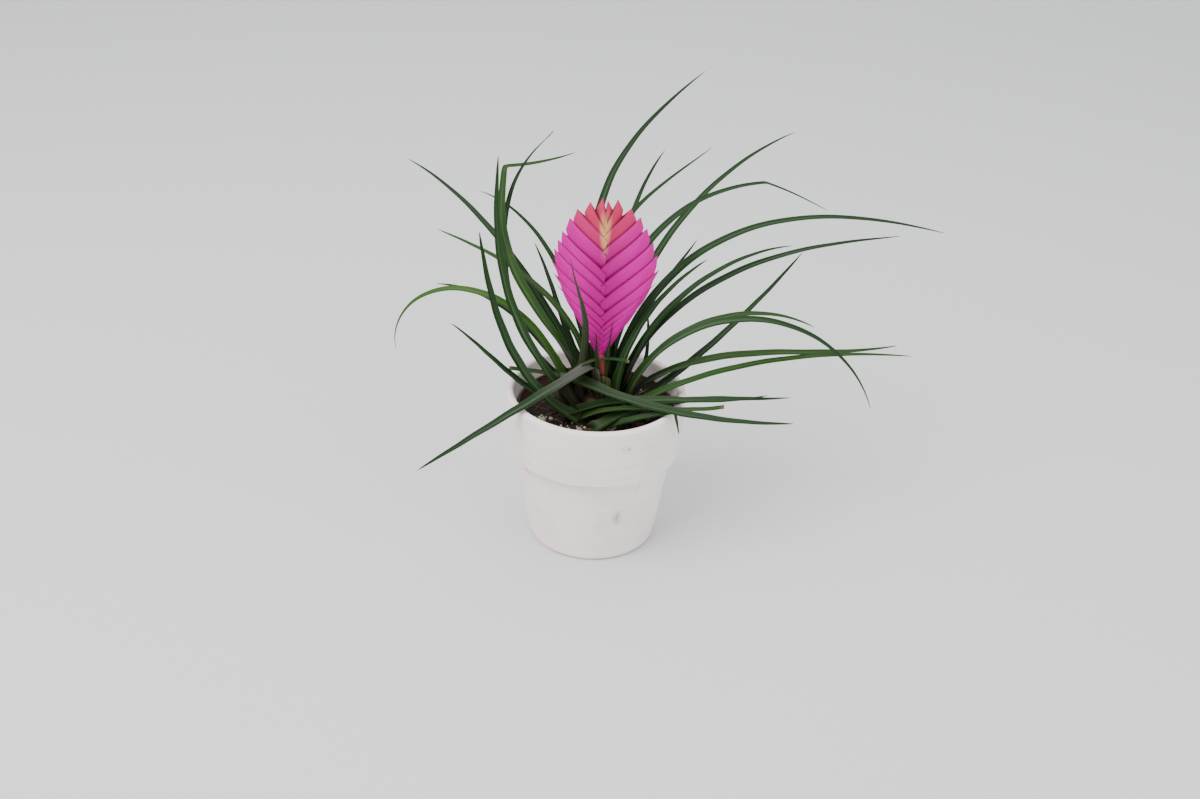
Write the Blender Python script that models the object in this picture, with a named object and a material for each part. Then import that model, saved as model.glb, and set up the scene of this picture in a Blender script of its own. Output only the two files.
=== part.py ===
"""Potted bromeliad: a pink quill tillandsia in a whitewashed clay cover pot.

Every piece is its own closed solid: clay pot, nursery pot, bark mix, crown,
flower stalk with its two clasping bracts, the two-ranked quill and the leaves.
Units are metres, +Z is up, and the origin is the centre of the pot's underside.
The flat face of the quill looks along -Y, which is the front of the object.
"""

import math
from dataclasses import dataclass

import bmesh
import bpy
from mathutils import Matrix, Vector, noise

MM = 0.001
GAP = 0.35 * MM                 # clearance kept between touching pieces

# --- clay cover pot --------------------------------------------------------
POT_HEIGHT = 101.5 * MM
LIP_RADIUS = 55.0 * MM          # widest point, on the rounded lip
LIP_ROUND = 2.4 * MM            # half of the wall's thickness at the lip
COLLAR_FOOT_RADIUS = 53.7 * MM
COLLAR_FOOT_HEIGHT = 63.3 * MM
COLLAR_EDGE = 0.8 * MM          # chamfer on the collar's lower edge
BODY_TOP_RADIUS = 48.3 * MM
BASE_RADIUS = 39.6 * MM
BASE_ROUND = 3.0 * MM
FLOOR_THICKNESS = 6.0 * MM
FLOOR_RADIUS = 34.6 * MM        # inside, at the floor
POT_SIDES = 48

# --- nursery pot inside it -------------------------------------------------
NURSERY_CLEARANCE = 2.2 * MM
NURSERY_HEIGHT = 84.0 * MM
NURSERY_WALL = 0.9 * MM
NURSERY_LIP = 1.3 * MM          # how far the lip stands out
NURSERY_LIP_DEPTH = 4.0 * MM
NURSERY_SIDES = 40
DRAIN_HOLES = 6
DRAIN_RADIUS = 3.5 * MM
DRAIN_RING = 20.0 * MM          # distance of the holes from the axis
DRAIN_CUT = 6.0 * MM            # length of the cutters, well past both faces

# --- bark mix and crown ----------------------------------------------------
MIX_EDGE_HEIGHT = 84.0 * MM
MIX_CREST_HEIGHT = 87.4 * MM
MIX_ROUGHNESS = 0.5 * MM
MIX_GRAIN = 6.0 * MM            # spacing of the top's bumps
MIX_RINGS = 5
MIX_PIT_TAPER = 0.72            # pit's floor radius over its mouth radius
MIX_SEED = 7
CROWN_RADIUS = 9.6 * MM
CROWN_FOOT_HEIGHT = 64.0 * MM
CROWN_TOP_HEIGHT = 98.6 * MM
CROWN_DOME = 7.0 * MM           # height of the rounded top
CROWN_SCARS = 5
CROWN_SCAR_STEP = 0.5 * MM      # each leaf scar's depth
CROWN_SCAR_DROP = 1.6 * MM      # and its height
CROWN_SIDES = 20

# --- flower stalk and quill ------------------------------------------------
STALK_FOOT = Vector((5.5, -1.0, 99.2)) * MM
STALK_NECK = Vector((2.0, 0.0, 125.0)) * MM
STALK_TOP_HEIGHT = 210.2 * MM
STALK_RADIUS = 2.3 * MM
RACHIS_RADIUS = 1.3 * MM        # the stalk inside the quill
STALK_SIDES = 10
STALK_STEP = 3.7 * MM
STALK_STEPS = 7
RACHIS_STEP = 17.0 * MM
RACHIS_STEPS = 5
SHEATH_HEIGHT = 13.0 * MM
SHEATH_REACH = 100.0            # degrees to each side of the front
BRACT_REACH = 75.0
CLASP_TIP_REACH = 12.0          # degrees left at a clasping bract's blunt top
CLASP_THICKNESS = 0.9 * MM
CLASP_THINNING = 0.4 * MM
CLASP_GAP = 0.45 * MM
CLASP_ROWS = 5
CLASP_COLUMNS = 8
QUILL_FOOT_HEIGHT = 125.0 * MM
QUILL_LENGTH = 100.0 * MM
QUILL_HALF_WIDTH = 30.5 * MM
QUILL_HALF_DEPTH = 4.2 * MM
QUILL_EDGE_DEPTH = 0.5 * MM     # half depth left at a bract's tip
QUILL_WIDEST = 0.55             # share of the length at the widest point
QUILL_SKEW = 1.16               # moves the widest point above the middle
BRACTS_PER_RANK = 10
LOWEST_TIP = 0.15               # share of the quill's length at the lowest bract's tip
TIP_SPREAD = 0.84               # share over which the tips are spread
HIGHEST_TIP = 0.95
BRACT_CLIMB = 0.55              # rise of a bract's margin over its reach
BRACT_CLIMB_FOOT = 3.0 * MM
BRACT_COLUMNS = 5
CREST_BRACTS = ((-2.6 * MM, -1.0 * MM), (0.9 * MM, 0.4 * MM), (4.2 * MM, 1.6 * MM))
CREST_HALF_WIDTH = 1.6 * MM
CREST_SHOULDER = 0.42           # share of the crest's height where it is full width
CREST_FORK = 0.66               # and where its tips part
CREST_DEPTH = 1.6 * MM
CREST_EDGE = 0.3 * MM

# --- leaves ----------------------------------------------------------------
LEAF_EDGE = 0.35 * MM           # least half width, at the tip
LEAF_FOOT_WIDTH = 0.42          # width at the foot over the greatest width
LEAF_WIDEST = 0.1               # share of the length at the greatest width
LEAF_TAPER = 0.75
LEAF_CHANNEL = 0.42             # depth of the channel over the half width
LEAF_THICKNESS = 0.9 * MM
LEAF_THINNING = 0.45 * MM       # thickness lost by the tip
LEAF_SECTION = 16.0             # millimetres of leaf for each extra section
LEAF_SECTIONS_LEAST = 7


@dataclass(frozen=True)
class LeafForm:
    """One leaf, as a grower would note it down (millimetres and degrees)."""

    name: str
    foot: tuple                 # compass bearing, distance from the axis, height
    bearing: tuple              # from the foot to the tip, 0 = +X, 90 = +Y
    rise: tuple                 # slope at the foot, half way and at the tip
    length: float
    width: float = 6.4
    fold: tuple = ()            # (share of the length, change of slope, change of bearing)


LEAVES = (
    LeafForm("leaf_left_1", (183, 18, 97), (158, 178), (72, 13, -98), 166, 6.8),
    LeafForm("leaf_left_2", (160, 15, 98), (158, 176), (52, 38, -3), 109, 5.4),
    LeafForm("leaf_left_3", (190, 22, 90), (191, 184), (26, 46, 40), 88, 6.0),
    LeafForm("leaf_left_4", (236, 24, 90), (174, 129), (29, 63, 77), 131, 7.6),
    LeafForm("leaf_left_5", (135, 12, 101), (138, 145), (53, 37, 11), 185, 6.2),
    LeafForm("leaf_left_6", (135, 8, 102), (152, 147), (89, 26, 6), 147, 5.4),
    LeafForm("leaf_back_1", (210, 16, 93), (186, 74), (51, 62, 80), 162, 7.2),
    LeafForm("leaf_back_2", (155, 12, 98), (215, 27), (78, 51, 103), 196, 7.2, (0.76, -79, -27)),
    LeafForm("leaf_back_3", (150, 16, 96), (166, 103, -86), (21, 73, 31), 192, 5.4),
    LeafForm("leaf_back_4", (112, 13, 101), (139, 122), (40, 58, 34), 91, 4.8),
    LeafForm("leaf_back_5", (105, 8, 102), (132, 155), (69, 54, 6), 142, 4.8),
    LeafForm("leaf_back_6", (184, 9, 102), (294, 231), (92, 60, 77), 112, 5.0),
    LeafForm("leaf_back_7", (80, 7, 102), (122, 23), (83, 39, 35), 228, 6.6),
    LeafForm("leaf_back_8", (72, 11, 102), (73, 57), (82, 63, 25), 151, 5.4),
    LeafForm("leaf_back_9", (95, 13, 100), (109, 17), (90, 31, 36), 185, 5.0),
    LeafForm("leaf_right_1", (72, 17, 99), (56, 38), (70, 34, 8), 218, 5.8),
    LeafForm("leaf_right_2", (50, 15, 98), (67, 14), (114, 21, -10), 248, 5.8, (0.77, -20, 7)),
    LeafForm("leaf_right_3", (38, 16, 98), (50, -10), (81, 15, -8), 258, 6.8),
    LeafForm("leaf_right_4", (15, 13, 100), (39, 46), (89, 47, 38), 107, 5.0),
    LeafForm("leaf_right_5", (350, 13, 98), (40, 42), (91, 43, 13), 108, 5.4),
    LeafForm("leaf_right_6", (12, 16, 96), (15, 29), (81, 37, -6), 152, 5.8),
    LeafForm("leaf_right_7", (26, 19, 95), (15, 25), (81, 18, -3), 219, 5.8),
    LeafForm("leaf_right_8", (2, 19, 94), (13, 6), (73, 21, -29), 140, 6.4),
    LeafForm("leaf_right_9", (346, 20, 93), (9, -8), (80, 0, -70), 201, 6.6),
    LeafForm("leaf_right_10", (346, 21, 89), (29, 34), (27, 33, 42), 147, 6.0),
    LeafForm("leaf_right_11", (12, 21, 92), (-8, 13), (55, 5, 8), 173, 7.0),
    LeafForm("leaf_right_12", (335, 20, 91), (5, 4), (34, 11, -4), 179, 5.6),
    LeafForm("leaf_front_1", (248, 4, 100), (215, 211), (85, 82, 80), 141, 6.6, (0.13, -100, 0)),
    LeafForm("leaf_front_2", (205, 16, 110), (-24, -22), (-10, 3, 16), 140, 6.8),
    LeafForm("leaf_front_3", (228, 19, 91), (-2, -17), (29, 7, 26), 119, 6.6),
    LeafForm("leaf_front_4", (281, 26, 90), (25, -45), (23, 12, 29), 121, 6.2),
    LeafForm("leaf_front_5", (255, 20, 92), (-7, -8), (30, 5, 18), 84, 4.4),
)


# --- scene and mesh helpers ------------------------------------------------
def clear_scene():
    for thing in list(bpy.data.objects):
        bpy.data.objects.remove(thing, do_unlink=True)


def make_material(name, colour, roughness):
    material = bpy.data.materials.new(name)
    material.use_nodes = True
    shader = material.node_tree.nodes["Principled BSDF"]
    shader.inputs["Base Color"].default_value = (*colour, 1.0)
    shader.inputs["Roughness"].default_value = roughness
    shader.inputs["Metallic"].default_value = 0.0
    return material


def finish_piece(bm, name, material, smooth_angle=40.0):
    """Turn a bmesh into a shaded object whose faces point out."""
    bmesh.ops.recalc_face_normals(bm, faces=bm.faces)
    mesh = bpy.data.meshes.new(name)
    bm.to_mesh(mesh)
    bm.free()
    mesh.materials.append(material)
    mesh.shade_smooth()
    mesh.set_sharp_from_angle(angle=math.radians(smooth_angle))
    piece = bpy.data.objects.new(name, mesh)
    bpy.context.scene.collection.objects.link(piece)
    return piece


def turned_solid(profile, sides):
    """Spin an open (radius, height) profile, whose ends lie on the axis, about Z."""
    bm = bmesh.new()
    points = [bm.verts.new((radius, 0.0, height)) for radius, height in profile]
    edges = [bm.edges.new(pair) for pair in zip(points, points[1:])]
    bmesh.ops.spin(bm, geom=points + edges, cent=(0, 0, 0), axis=(0, 0, 1),
                   angle=math.tau, steps=sides, use_merge=True)
    bmesh.ops.remove_doubles(bm, verts=bm.verts, dist=0.00001)
    return bm


def arc(centre, radius, start, end, steps):
    """Points on an arc in the (radius, height) plane, angles in degrees."""
    points = []
    for step in range(steps + 1):
        angle = math.radians(start + (end - start) * step / steps)
        points.append((centre[0] + radius * math.cos(angle),
                       centre[1] + radius * math.sin(angle)))
    return points


def loft(bm, sections):
    """Skin a list of equal closed point rings and cap both ends."""
    rings = [[bm.verts.new(point) for point in section] for section in sections]
    count = len(rings[0])
    for lower, upper in zip(rings, rings[1:]):
        for index in range(count):
            after = (index + 1) % count
            bm.faces.new((lower[index], lower[after], upper[after], upper[index]))
    bm.faces.new(rings[0])
    bm.faces.new(rings[-1])
    return rings


# --- pots ------------------------------------------------------------------
def cover_inside_radius(height):
    """Radius of the clay pot's straight, tapering inner wall."""
    lip_height = POT_HEIGHT - LIP_ROUND
    lip_inside = LIP_RADIUS - 2 * LIP_ROUND
    share = (height - FLOOR_THICKNESS) / (lip_height - FLOOR_THICKNESS)
    return FLOOR_RADIUS + (lip_inside - FLOOR_RADIUS) * share


def build_cover_pot(material):
    lip_centre = (LIP_RADIUS - LIP_ROUND, POT_HEIGHT - LIP_ROUND)
    profile = [(0.0, 0.0)]
    profile += arc((BASE_RADIUS - BASE_ROUND, BASE_ROUND), BASE_ROUND, -90, 0, 3)
    profile.append((BODY_TOP_RADIUS, COLLAR_FOOT_HEIGHT))
    profile.append((COLLAR_FOOT_RADIUS - COLLAR_EDGE, COLLAR_FOOT_HEIGHT))
    profile.append((COLLAR_FOOT_RADIUS, COLLAR_FOOT_HEIGHT + COLLAR_EDGE))
    profile += arc(lip_centre, LIP_ROUND, 0, 180, 6)
    profile.append((FLOOR_RADIUS, FLOOR_THICKNESS))
    profile.append((0.0, FLOOR_THICKNESS))
    return finish_piece(turned_solid(profile, POT_SIDES), "cover_pot", material)


def nursery_outside_radius(height):
    return cover_inside_radius(height) - NURSERY_CLEARANCE


def build_nursery_pot(material):
    foot = FLOOR_THICKNESS + GAP
    top = foot + NURSERY_HEIGHT
    under_lip = top - NURSERY_LIP_DEPTH
    inside_top = nursery_outside_radius(top) - NURSERY_WALL
    inside_foot = nursery_outside_radius(foot) - NURSERY_WALL
    profile = [
        (0.0, foot),
        (nursery_outside_radius(foot), foot),
        (nursery_outside_radius(under_lip), under_lip),
        (nursery_outside_radius(under_lip) + NURSERY_LIP, under_lip),
        (nursery_outside_radius(top) + NURSERY_LIP, top),
        (inside_top, top),
        (inside_foot, foot + NURSERY_WALL),
        (0.0, foot + NURSERY_WALL),
    ]
    pot = finish_piece(turned_solid(profile, NURSERY_SIDES), "nursery_pot", material)
    cut_drain_holes(pot, foot)
    return pot


def cut_drain_holes(pot, foot):
    """Cut a ring of round drain holes through the nursery pot's floor."""
    bm = bmesh.new()
    for index in range(DRAIN_HOLES):
        turn = Matrix.Rotation(math.tau * index / DRAIN_HOLES, 4, "Z")
        place = turn @ Matrix.Translation((DRAIN_RING, 0.0, foot))
        bmesh.ops.create_cone(bm, cap_ends=True, segments=10, radius1=DRAIN_RADIUS,
                              radius2=DRAIN_RADIUS, depth=DRAIN_CUT, matrix=place)
    cutter = finish_piece(bm, "drain_hole_cutter", pot.data.materials[0])
    cutter.hide_render = True
    cutter.display_type = "WIRE"
    cut = pot.modifiers.new("drain_holes", "BOOLEAN")
    cut.operation = "DIFFERENCE"
    cut.solver = "EXACT"
    cut.object = cutter


# --- bark mix and crown ----------------------------------------------------
def build_bark_mix(material):
    """Bark mix: a turned plug with a pit for the crown and an uneven top."""
    foot = FLOOR_THICKNESS + GAP + NURSERY_WALL + GAP
    pit_radius = CROWN_RADIUS + GAP
    pit_floor = CROWN_FOOT_HEIGHT - GAP

    def side_radius(height):
        return nursery_outside_radius(height) - NURSERY_WALL - 2 * GAP

    edge_radius = side_radius(MIX_EDGE_HEIGHT)
    profile = [(0.0, foot), (side_radius(foot), foot), (edge_radius, MIX_EDGE_HEIGHT)]
    for ring in range(1, MIX_RINGS + 1):
        share = ring / MIX_RINGS
        radius = edge_radius + (pit_radius - edge_radius) * share
        swell = math.sin(share * math.pi / 2)
        profile.append((radius, MIX_EDGE_HEIGHT + (MIX_CREST_HEIGHT - MIX_EDGE_HEIGHT) * swell))
    profile.append((pit_radius * MIX_PIT_TAPER, pit_floor))
    profile.append((0.0, pit_floor))
    bm = turned_solid(profile, NURSERY_SIDES)
    for vert in bm.verts:
        reach = math.hypot(vert.co.x, vert.co.y)
        if vert.co.z > MIX_EDGE_HEIGHT - MM and pit_radius + MM < reach < edge_radius - MM:
            spot = Vector((vert.co.x, vert.co.y, MIX_SEED * MM)) / MIX_GRAIN
            vert.co.z += MIX_ROUGHNESS * noise.noise(spot)
    return finish_piece(bm, "bark_mix", material)


def build_crown(material):
    """Short woody stem: ringed by old leaf scars and domed on top."""
    foot_radius = CROWN_RADIUS * MIX_PIT_TAPER
    top_radius = CROWN_RADIUS - CROWN_SCAR_STEP
    profile = [(0.0, CROWN_FOOT_HEIGHT), (foot_radius - CROWN_SCAR_STEP, CROWN_FOOT_HEIGHT)]
    shoulder = CROWN_TOP_HEIGHT - CROWN_DOME
    for scar in range(1, CROWN_SCARS + 1):
        share = scar / CROWN_SCARS
        height = CROWN_FOOT_HEIGHT + (shoulder - CROWN_FOOT_HEIGHT) * share
        radius = foot_radius + (top_radius - foot_radius) * share
        profile.append((radius - CROWN_SCAR_STEP, height - CROWN_SCAR_DROP))
        profile.append((radius, height))
    for angle in (30, 60, 90):
        turn = math.radians(angle)
        profile.append((top_radius * math.cos(turn), shoulder + CROWN_DOME * math.sin(turn)))
    return finish_piece(turned_solid(profile, CROWN_SIDES), "crown", material)


# --- leaves ----------------------------------------------------------------
def blend_along(values, share):
    """Line through two values, or parabola through three, spread evenly from 0 to 1."""
    if len(values) == 2:
        return values[0] + (values[1] - values[0]) * share
    first, middle, last = values
    return (first * (1 - share) * (1 - 2 * share) + 4 * middle * share * (1 - share)
            + last * share * (2 * share - 1))


def leaf_half_width(form, share):
    """Narrow at the foot, widest soon after it, then a long taper."""
    sheath = LEAF_FOOT_WIDTH + (1 - LEAF_FOOT_WIDTH) * min(1.0, share / LEAF_WIDEST)
    return 0.5 * form.width * MM * sheath * (1 - share) ** LEAF_TAPER + LEAF_EDGE


def leaf_sections(form):
    """Channelled cross-sections along a leaf's midrib."""
    count = LEAF_SECTIONS_LEAST + round(form.length / LEAF_SECTION)
    bearing_foot, reach, height = form.foot
    turn = math.radians(bearing_foot)
    point = Vector((reach * math.cos(turn), reach * math.sin(turn), height)) * MM
    step = form.length * MM / count
    sections = []
    for index in range(count + 1):
        share = index / count
        middle = min(1.0, share + 0.5 / count)
        slope, bearing = leaf_direction(form, middle)
        across = Vector((-math.sin(bearing), math.cos(bearing), 0.0))
        over = Vector((-math.sin(slope) * math.cos(bearing),
                       -math.sin(slope) * math.sin(bearing), math.cos(slope)))
        half = leaf_half_width(form, share)
        depth = LEAF_CHANNEL * half
        thick = LEAF_THICKNESS - LEAF_THINNING * share
        sections.append((point - across * half + over * depth, point.copy(),
                         point + across * half + over * depth, point + over * thick))
        along = Vector((math.cos(slope) * math.cos(bearing),
                        math.cos(slope) * math.sin(bearing), math.sin(slope)))
        point = point + along * step
    return sections


def leaf_direction(form, share):
    """Slope and bearing of the midrib, in radians, at a share of its length."""
    slope = blend_along(form.rise, share)
    bearing = blend_along(form.bearing, share)
    if form.fold and share > form.fold[0]:
        slope += form.fold[1]
        bearing += form.fold[2]
    return math.radians(slope), math.radians(bearing)


def build_leaf(form, material):
    bm = bmesh.new()
    loft(bm, leaf_sections(form))
    return finish_piece(bm, form.name, material, 60.0)


# --- flower stalk ----------------------------------------------------------
def stalk_centre(height):
    """Centre of the stalk: it leans in from its foot and is upright above the neck."""
    share = (height - STALK_FOOT.z) / (STALK_NECK.z - STALK_FOOT.z)
    share = min(1.0, max(0.0, share))
    ease = share * share * (3 - 2 * share)
    return Vector((STALK_FOOT.x + (STALK_NECK.x - STALK_FOOT.x) * ease,
                   STALK_FOOT.y + (STALK_NECK.y - STALK_FOOT.y) * ease, height))


def stalk_radius(height):
    share = (height - STALK_FOOT.z) / (STALK_TOP_HEIGHT - STALK_FOOT.z)
    return STALK_RADIUS + (RACHIS_RADIUS * 0.7 - STALK_RADIUS) * min(1.0, share * 1.6)


def build_stalk(material):
    heights = [STALK_FOOT.z + STALK_STEP * step for step in range(STALK_STEPS + 1)]
    heights += [QUILL_FOOT_HEIGHT + RACHIS_STEP * step for step in range(1, RACHIS_STEPS + 1)]
    sections = []
    for height in heights:
        centre = stalk_centre(height)
        radius = stalk_radius(height)
        ring = []
        for side in range(STALK_SIDES):
            angle = math.tau * side / STALK_SIDES
            ring.append(centre + Vector((math.cos(angle), math.sin(angle), 0)) * radius)
        sections.append(ring)
    bm = bmesh.new()
    loft(bm, sections)
    return finish_piece(bm, "flower_stalk", material)


def build_clasping_bract(name, foot, top, spread, material):
    """A thin bract wrapped round the stalk's front, blunt and rounded at its top."""
    sections = []
    for row in range(CLASP_ROWS + 1):
        share = row / CLASP_ROWS
        height = foot + (top - foot) * share
        centre = stalk_centre(height)
        reach = spread * math.sqrt(max(0.0, 1 - share ** 3)) + CLASP_TIP_REACH
        inner = stalk_radius(foot) + CLASP_GAP
        outer = inner + CLASP_THICKNESS - CLASP_THINNING * share
        ring = []
        for radius, order in ((outer, 1), (inner, -1)):
            for column in range(CLASP_COLUMNS + 1):
                across = 2 * column / CLASP_COLUMNS - 1
                angle = math.radians(order * reach * across - 90)
                ring.append(centre + Vector((math.cos(angle), math.sin(angle), 0)) * radius)
        sections.append(ring)
    bm = bmesh.new()
    loft(bm, sections)
    return finish_piece(bm, name, material)


# --- quill -----------------------------------------------------------------
def quill_half_width(share):
    """Outline of the quill: wedge-shaped below its widest point, round above."""
    power = 1.1 if share < QUILL_WIDEST else 0.6
    return QUILL_HALF_WIDTH * math.sin(math.pi * share ** QUILL_SKEW) ** power


def bract_tip(rank, index):
    """Reach and height of a bract's tip; rank is +1 or -1 for the two sides."""
    order = index if rank > 0 else index + 0.5
    share = min(LOWEST_TIP + TIP_SPREAD * order / BRACTS_PER_RANK, HIGHEST_TIP)
    return quill_half_width(share), QUILL_FOOT_HEIGHT + QUILL_LENGTH * share


def bract_margin(rank, index, share):
    """Point (reach, height) on a bract's free upper margin, rachis to tip."""
    reach, height = bract_tip(rank, index)
    climb = BRACT_CLIMB * reach + BRACT_CLIMB_FOOT
    return reach * share, height - climb * (1 - share ** 1.15)


def bract_sections(rank, index):
    sections = []
    for column in range(BRACT_COLUMNS + 1):
        share = column / BRACT_COLUMNS
        upper_x, upper_z = bract_margin(rank, index, share)
        lower_x, lower_z = bract_margin(rank, index - 1, share * 0.94)
        depth = QUILL_HALF_DEPTH * (1 - share) ** 0.8 + QUILL_EDGE_DEPTH
        start = STALK_NECK.x
        near = RACHIS_RADIUS + 2 * GAP
        lower_z += 2 * GAP
        upper_x = start + rank * (near + upper_x * (1 - near / QUILL_HALF_WIDTH))
        lower_x = start + rank * (near + lower_x * (1 - near / QUILL_HALF_WIDTH))
        sections.append((Vector((lower_x, -depth, lower_z)), Vector((upper_x, -depth, upper_z)),
                         Vector((upper_x, depth, upper_z)), Vector((lower_x, depth, lower_z))))
    return sections


def build_bract(rank, index, material):
    side = "right" if rank > 0 else "left"
    bm = bmesh.new()
    loft(bm, bract_sections(rank, index))
    return finish_piece(bm, f"bract_{side}_{index + 1}", material)


def build_quill_crest(material):
    """The small upright bracts that close the quill's top, grown together at their foot."""
    foot = STALK_TOP_HEIGHT + 2 * GAP
    top = QUILL_FOOT_HEIGHT + QUILL_LENGTH
    shoulder = foot + (top - foot) * CREST_SHOULDER
    fork = foot + (top - foot) * CREST_FORK
    outline = [(-CREST_HALF_WIDTH, foot, CREST_DEPTH)]
    for offset, lean in CREST_BRACTS:
        start = shoulder if len(outline) == 1 else fork
        outline.append((offset - CREST_HALF_WIDTH, start, CREST_DEPTH))
        outline.append((offset + lean, top - abs(lean), CREST_EDGE))
    outline.append((offset + CREST_HALF_WIDTH, shoulder, CREST_DEPTH))
    outline.append((CREST_HALF_WIDTH, foot, CREST_DEPTH))
    sections = []
    for side in (-1, 1):
        sections.append([Vector((STALK_NECK.x + x, side * depth, z)) for x, z, depth in outline])
    bm = bmesh.new()
    loft(bm, sections)
    bmesh.ops.triangulate(bm, faces=bm.faces)
    return finish_piece(bm, "quill_crest", material)


def main():
    clear_scene()
    clay = make_material("whitewashed_clay", (0.83, 0.79, 0.76), 0.85)
    plastic = make_material("brown_plastic", (0.16, 0.07, 0.045), 0.5)
    bark = make_material("bark_mix", (0.055, 0.032, 0.022), 0.95)
    wood = make_material("crown_wood", (0.16, 0.10, 0.05), 0.8)
    stalk = make_material("stalk_red", (0.30, 0.11, 0.07), 0.5)
    sheath = make_material("sheath_green", (0.22, 0.27, 0.08), 0.5)
    leaf = make_material("leaf_green", (0.09, 0.17, 0.06), 0.45)
    pink = make_material("bract_pink", (0.80, 0.06, 0.42), 0.45)
    coral = make_material("crest_coral", (0.85, 0.33, 0.33), 0.45)

    build_cover_pot(clay)
    build_nursery_pot(plastic)
    build_bark_mix(bark)
    build_crown(wood)
    build_stalk(stalk)
    sheath_foot = STALK_FOOT.z + MM
    sheath_top = sheath_foot + SHEATH_HEIGHT
    build_clasping_bract("stalk_sheath", sheath_foot, sheath_top, SHEATH_REACH, sheath)
    build_clasping_bract("stalk_bract", sheath_top + MM, QUILL_FOOT_HEIGHT - MM,
                         BRACT_REACH, stalk)
    for form in LEAVES:
        build_leaf(form, leaf)
    for rank in (1, -1):
        for index in range(BRACTS_PER_RANK):
            build_bract(rank, index, pink)
    build_quill_crest(coral)


main()
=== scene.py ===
"""Looks for the potted pink quill bromeliad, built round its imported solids.

Every living piece is rolled from a grid into a closed skin, every pot is spun
from its profile, and the finishes are small node graphs that read the piece's
own coordinates or attributes. Lengths are metres, +Z is up and the flower's
flat face looks along -Y.
"""

import logging
import math
import random
from collections.abc import Callable, Sequence
from dataclasses import dataclass, field
from enum import Enum
from functools import partialmethod

import bmesh
import bpy
from bmesh.types import BMesh
from bpy.types import Material, Node, NodeInputs, NodeSocket, Object
from mathutils import Matrix, Vector, noise


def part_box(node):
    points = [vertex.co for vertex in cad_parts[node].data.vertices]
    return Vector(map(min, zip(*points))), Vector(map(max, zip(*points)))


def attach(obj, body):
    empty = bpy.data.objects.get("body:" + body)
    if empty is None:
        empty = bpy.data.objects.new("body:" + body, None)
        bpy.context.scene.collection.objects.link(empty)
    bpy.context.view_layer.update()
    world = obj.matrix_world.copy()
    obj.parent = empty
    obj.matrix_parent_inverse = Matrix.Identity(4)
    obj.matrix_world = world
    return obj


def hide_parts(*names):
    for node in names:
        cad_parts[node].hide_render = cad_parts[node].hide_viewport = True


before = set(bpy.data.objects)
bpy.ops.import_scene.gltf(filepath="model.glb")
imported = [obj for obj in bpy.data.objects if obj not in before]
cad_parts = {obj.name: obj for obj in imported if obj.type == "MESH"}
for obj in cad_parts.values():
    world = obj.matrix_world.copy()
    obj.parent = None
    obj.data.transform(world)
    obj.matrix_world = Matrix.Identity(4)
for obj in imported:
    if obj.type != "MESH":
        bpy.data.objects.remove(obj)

MM = 0.001
BODY = "root"
MERGE = 2e-7                    # points closer than this are one point

LOG = logging.getLogger("bromeliad")


# --- shader graphs ---------------------------------------------------------
class Signal:
    """A number that varies over a surface; arithmetic on it adds Math nodes."""

    def __init__(self, graph: "Graph", socket: NodeSocket) -> None:
        """Wrap a node's output socket."""
        self.graph = graph
        self.socket = socket

    def combined(self, operation: str, other: "Number") -> "Signal":
        """This value first, the other second."""
        return self.graph.math(operation, self, other)

    def reflected(self, operation: str, other: "Number") -> "Signal":
        """The other value first, this one second."""
        return self.graph.math(operation, other, self)

    __add__ = partialmethod(combined, "ADD")
    __radd__ = partialmethod(reflected, "ADD")
    __sub__ = partialmethod(combined, "SUBTRACT")
    __rsub__ = partialmethod(reflected, "SUBTRACT")
    __mul__ = partialmethod(combined, "MULTIPLY")
    __rmul__ = partialmethod(reflected, "MULTIPLY")
    __truediv__ = partialmethod(combined, "DIVIDE")

    def __abs__(self) -> "Signal":
        """Distance from zero."""
        return self.graph.math("ABSOLUTE", self)

    def rise(self, low: float, high: float) -> "Signal":
        """Smooth step.

        Args:
            low: value at which the step starts.
            high: value at which it is done; below low for a falling step.

        Returns:
            A signal from 0 to 1.
        """
        settings = {"interpolation_type": "SMOOTHSTEP"}
        node = self.graph.node("ShaderNodeMapRange", settings, Value=self,
                               From_Min=min(low, high), From_Max=max(low, high))
        step = Signal(self.graph, node.outputs[0])
        return step if low < high else 1.0 - step


Number = Signal | float
Colour = tuple[float, float, float]
Paint = Colour | NodeSocket


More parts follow.
